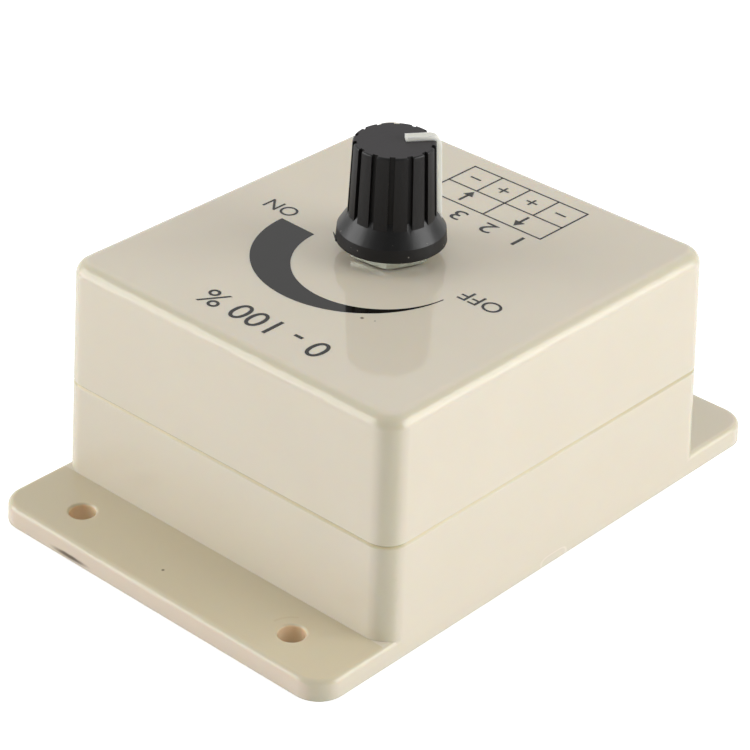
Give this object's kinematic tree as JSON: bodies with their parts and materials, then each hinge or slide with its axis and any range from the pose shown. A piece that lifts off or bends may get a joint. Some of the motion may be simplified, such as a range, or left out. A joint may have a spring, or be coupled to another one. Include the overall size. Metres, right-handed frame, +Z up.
{
  "type": "led strip dimmer",
  "caption": "Knob dimmer for light strips: a flanged two-part box with a rotary control on top and a pluggable screw terminal block at one end.",
  "frame": {"origin": "centre of the underside of the case, on the surface that it stands on", "axes": "+X to the right along the printed legend, +Y up the legend along the length between the flanges, +Z up through the knob; the terminal block is at the -Y end"},
  "size_m": [0.06, 0.089, 0.0518],
  "materials": {
    "case_plastic": "ivory moulded plastic, polished on top, satin at the sides",
    "knob_plastic": "black moulded plastic, satin",
    "pointer_plastic": "white moulded plastic",
    "plated_steel": "bright zinc plate",
    "cast_zinc": "die-cast zinc, satin",
    "shaft_aluminium": "turned",
    "sink_aluminium": "extruded, natural",
    "phenolic_board": "brown laminated resin",
    "carbon_film": "matt carbon print",
    "tinned_brass": "tin plate",
    "contact_brass": "rolled",
    "tinned_copper": "tin plate",
    "terminal_plastic": "green moulded polyamide",
    "board_laminate": "green solder mask on glass epoxy",
    "black_epoxy": "moulded epoxy",
    "capacitor_sleeve": "shrunk sleeve on aluminium",
    "seal_rubber": "moulded",
    "resistor_lacquer": "dipped lacquer",
    "ceramic_lacquer": "dipped lacquer",
    "lead_insulation": "flexible vinyl"
  },
  "bodies": {
    "case": {"base_shell": "case_plastic", "top_cover": "case_plastic", "case_screws": "plated_steel", "board_screws": "plated_steel", "hex_nut": "plated_steel", "pot_neck_plate": "cast_zinc", "pot_wafer": "phenolic_board", "pot_track": "carbon_film", "pot_can": "plated_steel", "pot_terminals": "tinned_brass", "pot_leads": "lead_insulation", "header_housing": "terminal_plastic", "header_pins": "tinned_brass", "transistor_body": "black_epoxy", "transistor_tab": "tinned_copper", "transistor_legs": "tinned_copper", "heat_sink": "sink_aluminium", "heat_sink_screw": "plated_steel", "main_capacitor": "capacitor_sleeve", "main_capacitor_seal": "seal_rubber", "main_capacitor_leads": "tinned_copper", "small_capacitor": "capacitor_sleeve", "small_capacitor_seal": "seal_rubber", "small_capacitor_leads": "tinned_copper", "timer_chip": "black_epoxy", "timer_chip_legs": "tinned_copper", "regulator": "black_epoxy", "regulator_legs": "tinned_copper", "resistors": "resistor_lacquer", "resistor_leads": "tinned_copper", "power_diode": "black_epoxy", "power_diode_leads": "tinned_copper", "disc_capacitors": "ceramic_lacquer", "disc_capacitor_leads": "tinned_copper", "circuit_board": "board_laminate"},
    "knob": {"knob_body": "knob_plastic", "knob_pointer": "pointer_plastic", "pot_shaft": "shaft_aluminium", "pot_circlip": "plated_steel", "pot_rotor": "phenolic_board", "pot_wiper": "contact_brass"},
    "plug": {"plug_housing": "terminal_plastic", "plug_contacts": "tinned_brass"},
    "screw_1": {"terminal_screw_1": "plated_steel"},
    "clamp_1": {"wire_clamp_1": "plated_steel"},
    "screw_2": {"terminal_screw_2": "plated_steel"},
    "clamp_2": {"wire_clamp_2": "plated_steel"},
    "screw_3": {"terminal_screw_3": "plated_steel"},
    "clamp_3": {"wire_clamp_3": "plated_steel"},
    "screw_4": {"terminal_screw_4": "plated_steel"},
    "clamp_4": {"wire_clamp_4": "plated_steel"}
  },
  "joints": [
    {"name": "knob_turn", "type": "hinge", "parent": "case", "child": "knob", "pos_m": [0.00055, -0.00045, 0.03495], "axis": [0, 0, -1], "range_deg": [0, 300]},
    {"name": "plug_pull", "type": "slide", "parent": "case", "child": "plug", "axis": [0, -1, 0], "range_m": [0, 0.009]},
    {"name": "screw_1_turn", "type": "hinge", "parent": "plug", "child": "screw_1", "pos_m": [-0.00762, -0.0382, 0.01225], "axis": [0, 0, -1], "range_deg": [0, 1080]},
    {"name": "clamp_1_rise", "type": "slide", "parent": "plug", "child": "clamp_1", "axis": [0, 0, 1], "range_m": [0, 0.0015]},
    {"name": "screw_2_turn", "type": "hinge", "parent": "plug", "child": "screw_2", "pos_m": [-0.00254, -0.0382, 0.01225], "axis": [0, 0, -1], "range_deg": [0, 1080]},
    {"name": "clamp_2_rise", "type": "slide", "parent": "plug", "child": "clamp_2", "axis": [0, 0, 1], "range_m": [0, 0.0015]},
    {"name": "screw_3_turn", "type": "hinge", "parent": "plug", "child": "screw_3", "pos_m": [0.00254, -0.0382, 0.01225], "axis": [0, 0, -1], "range_deg": [0, 1080]},
    {"name": "clamp_3_rise", "type": "slide", "parent": "plug", "child": "clamp_3", "axis": [0, 0, 1], "range_m": [0, 0.0015]},
    {"name": "screw_4_turn", "type": "hinge", "parent": "plug", "child": "screw_4", "pos_m": [0.00762, -0.0382, 0.01225], "axis": [0, 0, -1], "range_deg": [0, 1080]},
    {"name": "clamp_4_rise", "type": "slide", "parent": "plug", "child": "clamp_4", "axis": [0, 0, 1], "range_m": [0, 0.0015]}
  ],
  "couplings": [
    {"joint": "screw_1_turn", "follows": "clamp_1_rise", "rad_per_m": 12566},
    {"joint": "screw_2_turn", "follows": "clamp_2_rise", "rad_per_m": 12566},
    {"joint": "screw_3_turn", "follows": "clamp_3_rise", "rad_per_m": 12566},
    {"joint": "screw_4_turn", "follows": "clamp_4_rise", "rad_per_m": 12566}
  ]
}
